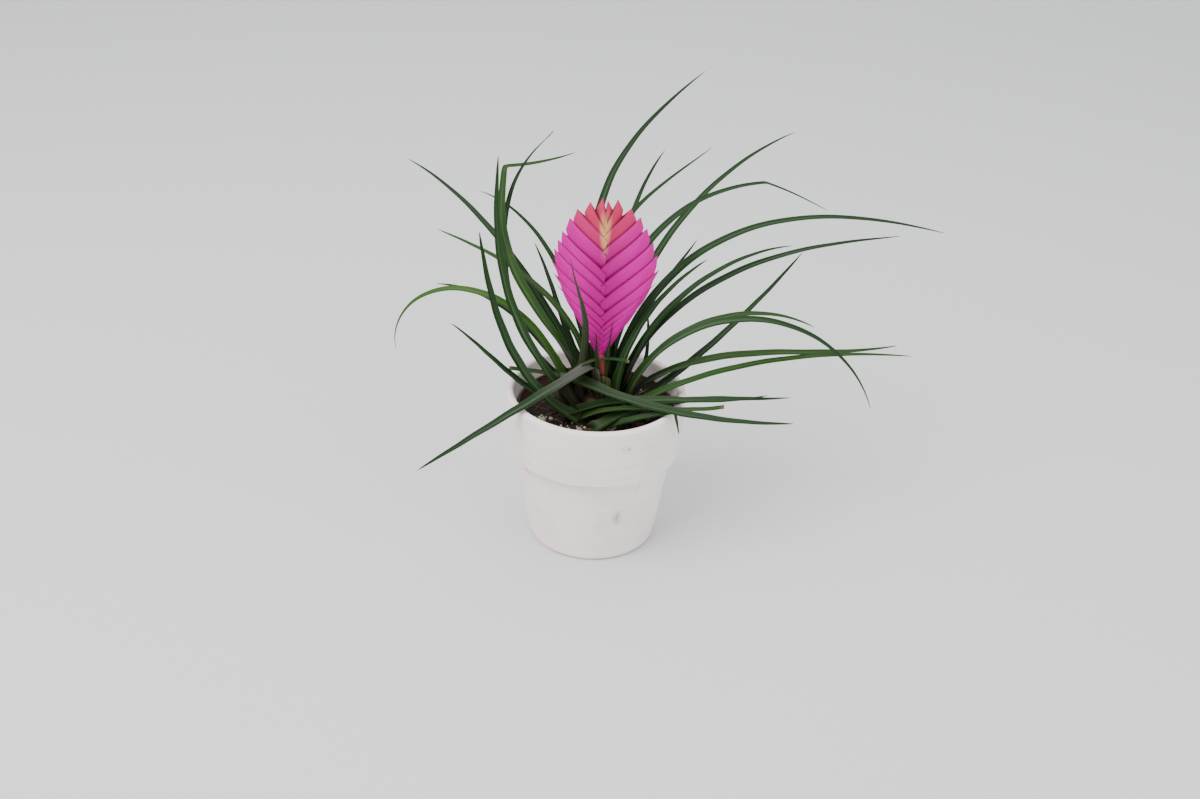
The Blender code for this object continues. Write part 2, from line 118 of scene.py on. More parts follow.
class Graph:
    """One material's nodes, round a Principled shader."""

    def __init__(self, name: str) -> None:
        """Start an empty material with that name."""
        self.material = bpy.data.materials.new(name)
        self.material.use_nodes = True
        self.tree = self.material.node_tree
        self.shader = self.tree.nodes["Principled BSDF"]

    @staticmethod
    def find(sockets: NodeInputs, key: str) -> NodeSocket:
        """Socket by identifier or by name, with underscores for spaces.

        Args:
            sockets: a node's inputs or outputs.
            key: the socket's identifier or name.

        Returns:
            The first enabled socket that matches.
        """
        spaced = key.replace("_", " ")
        for socket in sockets:
            if socket.identifier == key:
                return socket
        return next(socket for socket in sockets if socket.name == spaced and socket.enabled)

    def feed(self, socket: NodeSocket, value: object) -> None:
        """Link a signal or socket into a socket, or set a constant on it.

        Args:
            socket: the input that takes the value.
            value: a Signal, an output socket, a number or a tuple.
        """
        if isinstance(value, Signal):
            value = value.socket
        if isinstance(value, NodeSocket):
            self.tree.links.new(value, socket)
        elif socket.type == "RGBA" and len(value) == 3:
            socket.default_value = (*value, 1.0)
        else:
            socket.default_value = value

    def node(self, kind: str, settings: dict | None = None, **inputs: object) -> Node:
        """Add any node.

        Args:
            kind: the node's type.
            settings: its own properties, set before its sockets.
            inputs: values or links, by socket name.

        Returns:
            The new node.
        """
        made = self.tree.nodes.new(kind)
        for key, value in (settings or {}).items():
            setattr(made, key, value)
        for key, value in inputs.items():
            self.feed(self.find(made.inputs, key), value)
        return made

    def math(self, operation: str, *values: Number) -> Signal:
        """One Math node.

        Args:
            operation: the node's operation.
            values: its operands.

        Returns:
            The result.
        """
        made = self.node("ShaderNodeMath", {"operation": operation})
        for socket, value in zip(made.inputs, values):
            self.feed(socket, value)
        return Signal(self, made.outputs[0])

    def read(self, name: str) -> Signal:
        """Value of one of the piece's own attributes."""
        made = self.node("ShaderNodeAttribute", {"attribute_name": name})
        return Signal(self, self.find(made.outputs, "Fac"))

    def spot(self) -> NodeSocket:
        """The piece's own coordinates."""
        return self.find(self.node("ShaderNodeTexCoord").outputs, "Object")

    def axes(self) -> tuple[Signal, Signal, Signal]:
        """The piece's own coordinates, one by one."""
        parts = self.node("ShaderNodeSeparateXYZ", Vector=self.spot())
        return tuple(Signal(self, parts.outputs[index]) for index in range(3))

    def stretched(self, x: float, y: float, z: float) -> NodeSocket:
        """The piece's own coordinates, scaled along each axis."""
        made = self.node("ShaderNodeMapping", Vector=self.spot(), Scale=(x, y, z))
        return made.outputs[0]

    def patch(self, centre: Colour, reach: Colour) -> Signal:
        """Soft patch round a point.

        Args:
            centre: the point, in millimetres.
            reach: how far the patch goes along each axis, in millimetres.

        Returns:
            1 at the point, 0 beyond its reach.
        """
        away = self.spot()
        for operation, values in (("SUBTRACT", centre), ("DIVIDE", reach)):
            away = self.node("ShaderNodeVectorMath", {"operation": operation}, Vector=away,
                             Vector_001=tuple(value * MM for value in values)).outputs[0]
        length = self.node("ShaderNodeVectorMath", {"operation": "LENGTH"}, Vector=away)
        return Signal(self, length.outputs["Value"]).rise(1.0, 0.2)

    def joined(self, x: Number, y: Number, z: Number) -> NodeSocket:
        """Three numbers as one vector."""
        return self.node("ShaderNodeCombineXYZ", X=x, Y=y, Z=z).outputs[0]

    def grain(self, vector: NodeSocket, scale: float, detail: float = 2.0,
              roughness: float = 0.5) -> Signal:
        """Cloudy noise round one half, read at a vector; scale is how fine it is."""
        made = self.node("ShaderNodeTexNoise", Vector=vector, Scale=scale, Detail=detail,
                         Roughness=roughness)
        return Signal(self, made.outputs[0])

    def cells(self, vector: NodeSocket, scale: float) -> Signal:
        """Distance to the nearest of many scattered points."""
        made = self.node("ShaderNodeTexVoronoi", Vector=vector, Scale=scale)
        return Signal(self, made.outputs[0])

    def mix(self, factor: Number, first: Paint, second: Paint) -> NodeSocket:
        """Blend two colours: factor 0 is the first, 1 the second laid over it."""
        made = self.node("ShaderNodeMix", {"data_type": "RGBA"}, Factor_Float=factor,
                         A_Color=first, B_Color=second)
        return self.find(made.outputs, "Result_Color")

    def finish(self, colour: Paint, roughness: Number, relief: Number | None = None,
               depth: float = 0.0002, **constants: object) -> Material:
        """Feed the shader.

        Args:
            colour: the base colour.
            roughness: constant or varying.
            relief: height for a Bump node, if the surface has one.
            depth: how many metres a relief of 1 stands up.
            constants: the shader's other sockets.

        Returns:
            The finished material.
        """
        self.feed(self.shader.inputs["Base Color"], colour)
        self.feed(self.shader.inputs["Roughness"], roughness)
        for key, value in constants.items():
            self.feed(self.find(self.shader.inputs, key), value)
        if relief is not None:
            bump = self.node("ShaderNodeBump", Height=relief, Strength=1.0, Distance=depth)
            self.feed(self.shader.inputs["Normal"], bump.outputs[0])
        return self.material


# --- finishes --------------------------------------------------------------
@dataclass(frozen=True)
class Whitewash:
    """Chalky wash brushed over pale clay, with painted shade in the crease under the collar."""

    chalk: Colour = (0.96, 0.862, 0.842)
    thin: Colour = (0.70, 0.60, 0.57)
    # dark tone for scuffs, pores and grime, also used for painted shade under the collar
    scuff_and_shade: Colour = (0.30, 0.27, 0.25)
    smudge: Colour = (0.13, 0.125, 0.12)
    collar_foot: float = 63.3 * MM
    smudges: tuple[tuple[Colour, Colour], ...] = (
        ((27.0, -38.5, 56.5), (3.2, 3.2, 5.5)), ((19.5, -50.5, 90.0), (5.0, 5.0, 2.6)),
        ((-40.0, -26.0, 57.0), (4.5, 6.0, 6.0)), ((16.0, -43.0, 34.0), (5.0, 5.0, 9.0)))

    def build(self) -> Material:
        """Make the material."""
        g = Graph("whitewash")
        clouds = g.grain(g.spot(), 28.0, 4.0, 0.55)
        strokes = g.grain(g.stretched(14.0, 14.0, 520.0), 1.0, 4.0, 0.6)
        pores = g.cells(g.spot(), 900.0).rise(0.22, 0.05) * g.grain(g.spot(), 60.0).rise(0.5, 0.68)
        marks = g.grain(g.stretched(60.0, 60.0, 22.0), 2.6, 5.0, 0.62).rise(0.70, 0.78)
        _, _, height = g.axes()
        ledge = (height - self.collar_foot) * 1000.0
        # partly grime, partly painted shade: a patchy dark band in the recess under the collar step
        ledge_grime_and_shade = ledge.rise(-3.5, -0.3) * ledge.rise(0.6, 0.1) * g.grain(g.spot(), 40.0).rise(0.42, 0.7)
        # darker towards the bottom of the pot
        foot = height.rise(0.006, 0.0) * 0.5
        colour = g.mix(clouds.rise(0.40, 0.80) * 0.42, self.chalk, self.thin)
        colour = g.mix(strokes.rise(0.50, 0.74) * 0.34, colour, self.thin)
        # painted shade: a thin dark band in the crease under the collar
        crease = ledge.rise(-1.4, -0.2) * ledge.rise(0.7, 0.1) * 0.30
        colour = g.mix(marks * 0.30 + pores * 0.25 + ledge_grime_and_shade * 0.36 + foot * 0.3 + crease, colour,
                       self.scuff_and_shade)
        flecks = g.grain(g.stretched(520.0, 520.0, 130.0), 1.0, 4.0, 0.6).rise(0.40, 0.58)
        smears = sum(g.patch(*smudge) for smudge in self.smudges)
        colour = g.mix(smears * flecks * 0.62, colour, self.smudge)
        relief = strokes * 0.9 + clouds * 0.35 - pores * 0.5
        return g.finish(colour, 0.86 - strokes * 0.08, relief, 0.00022, Specular_IOR_Level=0.35)


@dataclass(frozen=True)
class FormedPlastic:
    """Thin brown plastic, formed over a mould."""

    brown: Colour = (0.060, 0.023, 0.013)
    dusty: Colour = (0.085, 0.050, 0.036)

    def build(self) -> Material:
        """Make the material."""
        g = Graph("formed_plastic")
        dust = g.grain(g.spot(), 90.0, 4.0, 0.6)
        ripple = g.grain(g.stretched(30.0, 30.0, 400.0), 1.0, 2.0)
        colour = g.mix(dust.rise(0.48, 0.75) * 0.6, self.brown, self.dusty)
        return g.finish(colour, 0.42 + dust * 0.25, ripple, 0.00012)


@dataclass(frozen=True)
class Ground:
    """Damp bark and peat."""

    name: str = "peat"
    dark: Colour = (0.0080, 0.0045, 0.0032)
    warm: Colour = (0.034, 0.0150, 0.0095)
    straw: Colour = (0.095, 0.050, 0.028)
    fineness: float = 1.0

    def build(self) -> Material:
        """Make the material."""
        g = Graph(self.name)
        crumbs = g.cells(g.spot(), 420.0 * self.fineness)
        clouds = g.grain(g.spot(), 130.0 * self.fineness, 6.0, 0.65)
        fibres = g.grain(g.stretched(900.0, 220.0, 400.0), self.fineness, 3.0, 0.6)
        colour = g.mix(clouds.rise(0.36, 0.72), self.dark, self.warm)
        colour = g.mix(fibres.rise(0.66, 0.80) * 0.55, colour, self.straw)
        relief = crumbs * 0.8 + clouds * 0.8 + fibres * 0.3
        return g.finish(colour, 0.80 + clouds * 0.15, relief, 0.0011)


@dataclass(frozen=True)
class Perlite:
    """Puffed white mineral grains, stained by peat."""

    clean: Colour = (0.46, 0.45, 0.33)
    stained: Colour = (0.16, 0.125, 0.07)

    def build(self) -> Material:
        """Make the material."""
        g = Graph("perlite")
        stain = g.grain(g.spot(), 520.0, 4.0, 0.6)
        pits = g.cells(g.spot(), 2600.0)
        colour = g.mix(stain.rise(0.46, 0.72), self.clean, self.stained)
        return g.finish(colour, 0.9, pits + stain * 0.6, 0.00035)


class LeafTint(Enum):
    """How old and how shaded a leaf is."""

    DEEP = 0.0
    MIDDLE = 0.45
    FRESH = 1.0


@dataclass(frozen=True)
class LeafSkin:
    """Grooved grassy leaf: dark and bloomed above, with a painted highlight down the middle and painted
    shade towards the edges; purplish brown below.
    """

    deep: Colour = (0.0042, 0.0205, 0.0034)
    mid: Colour = (0.0095, 0.0450, 0.0022)
    fresh: Colour = (0.044, 0.125, 0.006)
    bloom_and_highlight: Colour = (0.112, 0.182, 0.096)
    rib: Colour = (0.115, 0.175, 0.070)
    under: Colour = (0.024, 0.042, 0.018)
    flush: Colour = (0.040, 0.022, 0.017)
    sheen_grey: Colour = (0.185, 0.155, 0.160)
    dry: Colour = (0.15, 0.085, 0.045)

    def build(self) -> Material:
        """Make the material."""
        g = Graph("leaf_skin")
        across, along = g.read("across"), g.read("along")
        reach, below = g.read("reach"), g.read("below")
        age, tone = g.read("age"), g.read("tone")
        offset = tone * 31.0
        streaks = g.grain(g.joined(across * 3.4 + offset, reach * 9.0, offset), 1.0, 4.0, 0.62)
        threads = g.grain(g.joined(across * 13.0 + offset, reach * 14.0, offset), 1.0, 2.0, 0.5)
        patches = g.grain(g.joined(across * 0.6 + offset, reach * 55.0, offset), 1.0, 3.0, 0.6)
        veins = g.math("COSINE", across * 25.0) * 0.5 + 0.5
        middle = 1.0 - abs(across).rise(0.05, 0.42)
        edge = abs(across).rise(0.80, 0.99)
        colour = g.mix(tone.rise(0.0, 1.0) * 0.55 + streaks.rise(0.35, 0.7) * 0.35,
                       self.deep, self.mid)
        # the tint mixes in fresher green: partly the leaf's age, partly painted shade on shaded leaves
        colour = g.mix(age * (0.75 - patches * 0.35), colour, self.fresh)
        # painted shade: the blade darker towards its edges, less so on fresher-tinted leaves
        colour = g.mix(abs(across).rise(0.25, 0.80) * 0.45 * (1.0 - age), colour, self.deep)
        # painted highlight: pale streaks down the middle of the blade and along its threads, fading
        # before the tip
        shine = threads.rise(0.56, 0.76) * 0.24 + middle * streaks.rise(0.40, 0.60) * 0.66
        colour = g.mix(shine * along.rise(0.96, 0.40) * 0.55, colour, self.bloom_and_highlight)
        colour = g.mix(edge * 0.16, colour, self.rib)
        stem = along.rise(0.20, 0.02)
        underside = g.mix(along.rise(0.05, 0.55), self.flush, self.under)
        underside = g.mix(threads.rise(0.46, 0.72) * 0.5, underside, self.bloom_and_highlight)
        colour = g.mix(below * (0.80 - age * 0.35), colour, underside)
        colour = g.mix(stem * threads.rise(0.40, 0.66) * 0.45, colour, self.flush)
        # painted sheen: a whitish patch a short way up the blade on leaves with a pale value
        colour = g.mix(g.read("pale") * (0.45 + streaks * 0.7), colour, self.sheen_grey)
        tip = along.rise(0.955, 0.995) * (0.5 + tone * 0.5)
        colour = g.mix(tip, colour, self.dry)
        relief = veins * 0.55 + threads * 0.5 + streaks * 0.2
        return g.finish(colour, 0.44 - middle * 0.10 + patches * 0.12, relief, 0.00009,
                        Specular_IOR_Level=0.22)


@dataclass(frozen=True)
class BractSkin:
    """Waxy pink bract: darker free margin, with painted shade towards the keel, towards each bract's
    foot and on the lower bracts.
    """

    pink: Colour = (0.57, 0.0002, 0.275)
    light: Colour = (0.68, 0.0030, 0.375)
    # dark pink for the free margin and for painted shade
    shade_and_margin: Colour = (0.21, 0.0006, 0.078)
    coral: Colour = (0.52, 0.036, 0.062)
    cream: Colour = (0.82, 0.47, 0.17)
    green: Colour = (0.20, 0.145, 0.035)

    def build(self) -> Material:
        """Make the material."""
        g = Graph("bract_skin")
        spread, flank = g.read("spread"), g.read("flank")
        rung, tone = g.read("rung"), g.read("tone")
        offset = tone * 23.0
        threads = g.grain(g.joined(flank * 16.0 + offset, spread * 1.6, offset), 1.0, 3.0, 0.6)
        clouds = g.grain(g.joined(flank * 2.2 + offset, spread * 2.2, offset), 1.0, 3.0, 0.5)
        colour = g.mix(clouds.rise(0.32, 0.70) * 0.45 + threads.rise(0.5, 0.8) * 0.25,
                       self.pink, self.light)
        # painted shade: darker towards each bract's foot, near the axis where the bracts overlap
        colour = g.mix(spread.rise(0.55, 0.0) * 0.42, colour, self.shade_and_margin)
        blush = rung.rise(0.84, 0.955)
        colour = g.mix(blush * 0.85, colour, self.coral)
        x, _, z = g.axes()
        height = z / MM
        aside = abs(x / MM - 2.0) - height.rise(190.0, 214.0) * 1.6
        heart = aside.rise(2.9, 0.0) * height.rise(186.0, 204.0) * height.rise(220.0, 208.0)
        colour = g.mix(heart * (0.55 + threads * 0.45), colour, self.cream)
        # painted shade: the lower bracts darker towards their foot
        colour = g.mix(rung.rise(0.42, 0.02) * spread.rise(1.0, 0.3) * 0.30, colour, self.shade_and_margin)
        colour = g.mix(rung.rise(0.14, 0.0) * 0.30, colour, self.green)
        margin = flank.rise(0.90, 0.985) * (0.88 - blush * 0.35)
        shade = flank.rise(0.62, 0.30) * 0.12
        colour = g.mix(margin + shade * (1.0 - blush), colour, self.shade_and_margin)
        relief = threads * 0.6 + clouds * 0.3
        return g.finish(colour, 0.50 + threads * 0.12, relief, 0.00010, Subsurface_Weight=0.10,
                        Subsurface_Radius=(0.004, 0.0012, 0.0016), Subsurface_Scale=0.6,
                        Specular_IOR_Level=0.10)


@dataclass(frozen=True)
class StemSkin:
    """Smooth stem tissue with lengthwise fibres."""

    name: str
    body: Colour
    streak: Colour
    top: Colour

    def build(self) -> Material:
        """Make the material."""
        g = Graph(self.name)
        along = g.read("along")
        fibres = g.grain(g.stretched(900.0, 900.0, 60.0), 1.0, 3.0, 0.6)
        freckles = g.grain(g.spot(), 700.0, 3.0, 0.6)
        colour = g.mix(fibres.rise(0.40, 0.70) * 0.6, self.body, self.streak)
        colour = g.mix(along.rise(0.55, 1.0) * 0.8, colour, self.top)
        return g.finish(colour, 0.45 + freckles * 0.15, fibres + freckles * 0.4, 0.00012,
                        Specular_IOR_Level=0.42)


@dataclass(frozen=True)
class Backdrop:
    """Plain pale studio surface."""

    tone: Colour = (0.70, 0.705, 0.71)

    def build(self) -> Material:
        """Make the material."""
        g = Graph("studio_floor")
        clouds = g.grain(g.spot(), 3.0, 2.0)
        colour = g.mix(clouds * 0.05, self.tone, (0.60, 0.60, 0.60))
        return g.finish(colour, 0.8)


# --- meshes ----------------------------------------------------------------
Sample = tuple[Vector, dict[str, float]]


def rolled(around: int, along: int, place: Callable[[float, float], Sample],
           bm: BMesh | None = None) -> BMesh:
    """Roll a grid into a closed skin.

    Args:
        around: faces round the skin.
        along: faces along it.
        place: gives a point and its attributes at (share round, share along);
            shares 0 and 1 round are the same point.
        bm: the mesh to add to, or None for a new one.

    Returns:
        The mesh, with the skin's seam merged and its ends filled. It is closed as long
        as place puts no other points in one spot.
    """
    piece = bmesh.new()
    bmesh.ops.create_grid(piece, x_segments=around, y_segments=along, size=0.5)
    for key in place(0.0, 0.0)[1]:
        piece.verts.layers.float.new(key)
    layers = piece.verts.layers.float
    for vert in piece.verts:
        vert.co, values = place(vert.co.x + 0.5, vert.co.y + 0.5)
        for key, value in values.items():
            vert[layers[key]] = value
    bmesh.ops.remove_doubles(piece, verts=piece.verts, dist=MERGE)
    rims = [edge for edge in piece.edges if edge.is_boundary]
    bmesh.ops.holes_fill(piece, edges=rims, sides=0)
    bmesh.ops.recalc_face_normals(piece, faces=piece.faces)
    if bm is None:
        return piece
    mesh = bpy.data.meshes.new("spare")
    piece.to_mesh(mesh)
    piece.free()
    bm.from_mesh(mesh)
    bpy.data.meshes.remove(mesh)
    return bm


def spun(profile: Sequence[tuple[float, float]], sides: int) -> BMesh:
    """Spin a (radius, height) profile about Z.

    Args:
        profile: points from the axis underneath to the axis inside.
        sides: steps in the full turn.

    Returns:
        A closed mesh that faces out.
    """
    bm = bmesh.new()
    points = [bmesh.ops.create_vert(bm, co=(radius, 0.0, height))["vert"][0]
              for radius, height in profile]
    edges = [bm.edges.new(pair) for pair in zip(points, points[1:])]
    bmesh.ops.spin(bm, geom=points + edges, cent=(0, 0, 0), axis=(0, 0, 1), angle=math.tau,
                   steps=sides, use_merge=True)
    bmesh.ops.remove_doubles(bm, verts=bm.verts, dist=MERGE * 10)
    bmesh.ops.recalc_face_normals(bm, faces=bm.faces)
    return bm


def arc(centre: tuple[float, float], radius: float, start: float, end: float,
        steps: int) -> list[tuple[float, float]]:
    """Points of an arc in the (radius, height) plane, between two angles in degrees."""
    angles = [math.radians(start + (end - start) * step / steps) for step in range(steps + 1)]
    return [(centre[0] + radius * math.cos(a), centre[1] + radius * math.sin(a)) for a in angles]


def dressed(bm: BMesh, name: str, material: Material, slot: str,
            *nodes: str, crease: float = 50.0) -> Object:
    """Turn a mesh into a finished piece.

    Args:
        bm: the mesh, which is freed.
        name: the piece's name.
        material: its finish.
        slot: the record's material slot; not used.
        nodes: the solids that it stands for.
        crease: angle above which an edge looks sharp, in degrees.

    Returns:
        The piece, riding on the body.
    """
    mesh = bpy.data.meshes.new(name)
    bm.to_mesh(mesh)
    bm.free()
    mesh.materials.append(material)
    mesh.shade_smooth()
    mesh.set_sharp_from_angle(angle=math.radians(crease))
    piece = bpy.data.objects.new(name, mesh)
    bpy.context.scene.collection.objects.link(piece)
    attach(piece, BODY)
    if nodes:
        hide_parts(*nodes)
    LOG.info("%s: %d faces", name, len(mesh.polygons))
    return piece


def between(values: Sequence[float], share: float) -> float:
    """Line through two values, or parabola through three.

    Args:
        values: two or three values, spread evenly from 0 to 1.
        share: where to read them.

    Returns:
        The value there.
    """
    if len(values) == 2:
        return values[0] + (values[1] - values[0]) * share
    first, middle, last = values
    return (first * (1 - share) * (1 - 2 * share) + 4 * middle * share * (1 - share)
            + last * share * (2 * share - 1))


def aimed(slope: float, bearing: float) -> Vector:
    """Unit vector at a slope and a bearing, both in radians."""
    flat = math.cos(slope)
    return Vector((flat * math.cos(bearing), flat * math.sin(bearing), math.sin(slope)))


def eased(low: float, high: float, value: float) -> float:
    """Smooth step from 0 at low to 1 at high."""
    share = min(1.0, max(0.0, (value - low) / (high - low)))
    return share * share * (3 - 2 * share)


# --- pots and mix ----------------------------------------------------------
@dataclass
class Pots:
    """The whitewashed clay pot and the nursery pot that stands in it."""

    lip_round: float = 2.4 * MM
    collar_foot: float = 63.3 * MM
    collar_edge: float = 1.3 * MM
    collar_foot_radius: float = 53.7 * MM
    body_top_radius: float = 48.3 * MM
    base_round: float = 3.4 * MM
    base_radius: float = 39.6 * MM
    floor_height: float = 6.0 * MM
    floor_radius: float = 34.6 * MM
    nursery_wall: float = 0.9 * MM
    sides: int = 160

    def clay(self) -> BMesh:
        """Clay pot: rounded foot, a stepped collar and a full lip."""
        _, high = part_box("cover_pot")
        lip = (high.x - self.lip_round, high.z - self.lip_round)
        edge = self.collar_edge
        fillet = 0.9 * MM
        profile = [(0.0, 0.4 * MM), (self.base_radius * 0.84, 0.4 * MM), (self.base_radius * 0.87, 0.0)]
        profile += arc((self.base_radius - self.base_round, self.base_round), self.base_round,
                       -90, 8, 8)
        for share in (0.2, 0.4, 0.6, 0.8):
            radius = self.base_radius + (self.body_top_radius - self.base_radius) * share
            profile.append((radius + 0.15 * MM, self.collar_foot * share))
        profile += arc((self.body_top_radius + fillet, self.collar_foot - fillet), fillet, 180, 90, 4)
        profile += arc((self.collar_foot_radius - edge, self.collar_foot + edge), edge, -90, 0, 6)
        for share in (0.25, 0.5, 0.75):
            swell = 0.15 * MM * math.sin(share * math.pi)
            profile.append((self.collar_foot_radius + swell
                            + (high.x - self.collar_foot_radius) * share,
                            self.collar_foot + edge + (lip[1] - self.collar_foot - edge) * share))
        profile += arc(lip, self.lip_round, 0, 180, 16)
        for share in (0.25, 0.5, 0.75, 1.0):
            radius = high.x - 2 * self.lip_round
            profile.append((radius + (self.floor_radius - radius) * share,
                            lip[1] + (self.floor_height - lip[1]) * share))
        profile.append((0.0, self.floor_height))
        bm = spun(profile, self.sides)
        for vert in bm.verts:
            out = Vector((vert.co.x, vert.co.y, 0.0))
            if out.length > self.floor_radius and vert.co.z > 2 * MM:
                drift = noise.noise(vert.co * 26.0) * 0.16 + noise.noise(vert.co * 90.0) * 0.05
                vert.co += out.normalized() * (drift - 0.14) * MM
        return bm

    def nursery(self) -> BMesh:
        """Nursery pot: thin tapering wall with a rolled, stepped lip."""
        low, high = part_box("nursery_pot")
        rim, top = high.x, high.z
        wall = self.nursery_wall
        foot_radius = self.floor_radius - 2.2 * MM
        profile = [(0.0, low.z), (foot_radius - 1.5 * MM, low.z), (foot_radius, low.z + 1.5 * MM)]
        profile += [(rim - 1.6 * MM, top - 4.2 * MM), (rim - 0.5 * MM, top - 4.0 * MM)]
        profile += arc((rim - 0.6 * MM, top - 0.6 * MM), 0.6 * MM, 0, 180, 8)
        profile += [(rim - 1.3 * MM, top - 3.0 * MM), (rim - 1.6 * MM - wall, top - 4.8 * MM)]
        profile += [(foot_radius - wall, low.z + 2.0 * MM), (foot_radius - 2.4 * MM, low.z + wall)]
        profile.append((0.0, low.z + wall))
        return spun(profile, 96)

    def build(self) -> None:
        """Make and dress both pots."""
        clay = Whitewash(collar_foot=self.collar_foot).build()
        dressed(self.clay(), "whitewashed_pot", clay, "clay", "cover_pot", crease=40.0)
        dressed(self.nursery(), "inner_pot", FormedPlastic().build(), "plastic", "nursery_pot")


@dataclass
class Mix:
    """Bark mix: an uneven top strewn with chips, perlite, roots and straw."""

    seed: int = 11
    rings: int = 44
    chips: int = 330
    grains: int = 84
    fibres: int = 34
    drifts: tuple[tuple[float, float], ...] = (
        (-31.6, -11.3), (-17.0, -20.0), (-9.0, -21.7), (8.7, -21.5), (30.0, 27.0))
    low: Vector = field(default_factory=lambda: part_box("bark_mix")[0])
    high: Vector = field(default_factory=lambda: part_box("bark_mix")[1])

    def height(self, x: float, y: float) -> float:
        """Height of the mix's top.

        Args:
            x: place across.
            y: place deep.

        Returns:
            The height there, in metres.
        """
        reach = min(1.0, math.hypot(x, y) / self.high.x)
        swell = (self.high.z - 4.4 * MM) + 3.2 * MM * math.cos(reach * math.pi / 2)
        spot = Vector((x, y, 0.03))
        return swell + (noise.noise(spot * 110.0) * 1.3 + noise.noise(spot * 330.0) * 0.7) * MM

    def bed(self) -> BMesh:
        """The plug of mix, with its uneven top."""
        low, high = self.low, self.high
        edge = high.x
        foot = abs(low.x) * 0.72
        profile = [(0.0, low.z), (foot, low.z), (edge, high.z - 4.5 * MM)]
        for ring in range(1, self.rings):
            profile.append((edge * (1 - ring / self.rings), high.z))
        profile.append((0.0, high.z))
        bm = spun(profile, 150)
        for vert in bm.verts:
            if vert.co.z > high.z - 0.1 * MM:
                vert.co.z = self.height(vert.co.x, vert.co.y)
        return bm

    def strewn(self, rng: random.Random, reach: float, drifts: float = 0.0
               ) -> tuple[float, float]:
        """A random place on the mix, clear of the rim.

        Args:
            rng: the seeded source.
            reach: the greatest distance from the axis.
            drifts: how often it falls in one of the drifts instead.

        Returns:
            x and y.
        """
        if rng.random() < drifts:
            x, y = rng.choice(self.drifts)
            return rng.gauss(x, 2.2) * MM, rng.gauss(y, 1.8) * MM
        radius = reach * math.sqrt(rng.uniform(0.02, 1.0))
        angle = rng.uniform(0.0, math.tau)
        return radius * math.cos(angle), radius * math.sin(angle)

    def lumps(self, rng: random.Random, count: int, sizes: tuple[float, float],
              flatness: float, reach: float, detail: int = 1, drifts: float = 0.0
              ) -> BMesh:
        """Scatter rough little lumps.

        Args:
            rng: the seeded source.
            count: how many.
            sizes: smallest and largest radius.
            flatness: thickness over width.
            reach: the greatest distance from the axis.
            detail: subdivisions of each lump.
            drifts: how many of them lie in drifts.

        Returns:
            One mesh with all of them.
        """
        bm = bmesh.new()
        for _ in range(count):
            x, y = self.strewn(rng, reach, drifts)
            size = rng.uniform(*sizes)
            turn = Matrix.Rotation(rng.uniform(0, math.tau), 4, "Z")
            tilt = Matrix.Rotation(rng.gauss(0.0, 0.4), 4, rng.choice("XY"))
            shape = Matrix.Diagonal((size, size * rng.uniform(0.5, 0.9), size * flatness, 1.0))
            place = Matrix.Translation((x, y, self.height(x, y) + size * flatness * 0.35))
            made = bmesh.ops.create_icosphere(bm, subdivisions=detail, radius=1.0,
                                              matrix=place @ turn @ tilt @ shape)
            shift = rng.uniform(0.0, 50.0)
            centre = place.translation
            for vert in made["verts"]:
                out = vert.co - centre
                vert.co = centre + out * (1 + 0.5 * noise.noise(vert.co / size * 0.9
                                                                + Vector((shift, 0, 0))))
        return bm

    def threads(self, rng: random.Random, count: int, lengths: tuple[float, float],
                width: float) -> BMesh:
        """Lay thin crooked threads on the mix.

        Args:
            rng: the seeded source.
            count: how many.
            lengths: shortest and longest.
            width: their diameter.

        Returns:
            One mesh with all of them.
        """
        bm = bmesh.new()
        for _ in range(count):
            x, y = self.strewn(rng, 0.037)
            heading = rng.uniform(0, math.tau)
            length = rng.uniform(*lengths)
            curl = rng.uniform(-1.6, 1.6)
            arch = rng.uniform(0.0, 0.22) * length

            def place(turn: float, share: float) -> Sample:
                """Point on the thread's skin."""
                angle = heading + curl * (share - 0.5)
                mid = Vector((x + math.cos(angle) * length * (share - 0.5),
                              y + math.sin(angle) * length * (share - 0.5), 0.0))
                mid.z = self.height(mid.x, mid.y) + width + arch * math.sin(share * math.pi)
                side = Vector((-math.sin(angle), math.cos(angle), 0.0))
                radius = width * 0.5 * (1.05 - 0.6 * share)
                round_ = turn * math.tau
                return (mid + side * math.cos(round_) * radius
                        + Vector((0, 0, math.sin(round_) * radius)), {"along": share})

            rolled(5, 9, place, bm)
        return bm

    def build(self) -> None:
        """Make and dress the mix and all that lies on it."""
        rng = random.Random(self.seed)
        dressed(self.bed(), "potting_mix", Ground().build(), "bark", "bark_mix")
        chip = Ground("bark_chip", (0.012, 0.0065, 0.0042), (0.058, 0.024, 0.013),
                      (0.15, 0.075, 0.04), 0.7).build()
        dressed(self.lumps(rng, self.chips, (0.9 * MM, 3.1 * MM), 0.42, 0.0425), "bark_chips",
                chip, "bark", crease=30.0)
        dressed(self.lumps(rng, self.grains, (0.7 * MM, 1.6 * MM), 0.85, 0.0415, 2, 0.72),
                "perlite_grains", Perlite().build(), "bark", crease=60.0)
        straw = StemSkin("straw", (0.10, 0.052, 0.026), (0.17, 0.10, 0.05), (0.07, 0.036, 0.018))
        dressed(self.threads(rng, self.fibres, (7 * MM, 19 * MM), 0.55 * MM), "root_fibres",
                straw.build(), "bark")


# --- leaves ----------------------------------------------------------------
@dataclass(frozen=True)
class LeafForm:
    """One leaf as a grower would note it down, in millimetres and degrees."""

    name: str
    foot: tuple[float, float, float]
    bearing: tuple[float, ...]
    rise: tuple[float, float, float]
    length: float
    width: float
    fold: tuple[float, ...] = ()
    tint: LeafTint = LeafTint.DEEP
    cut: float = 0.0
    # pale sets the strength of a painted sheen a short way up the blade
    pale: float = 0.0


def leaf(place: str, *sizes: object, **rest: object) -> LeafForm:
    """Note one leaf down by its place in the rosette."""
    return LeafForm(f"leaf_{place}", *sizes, **rest)


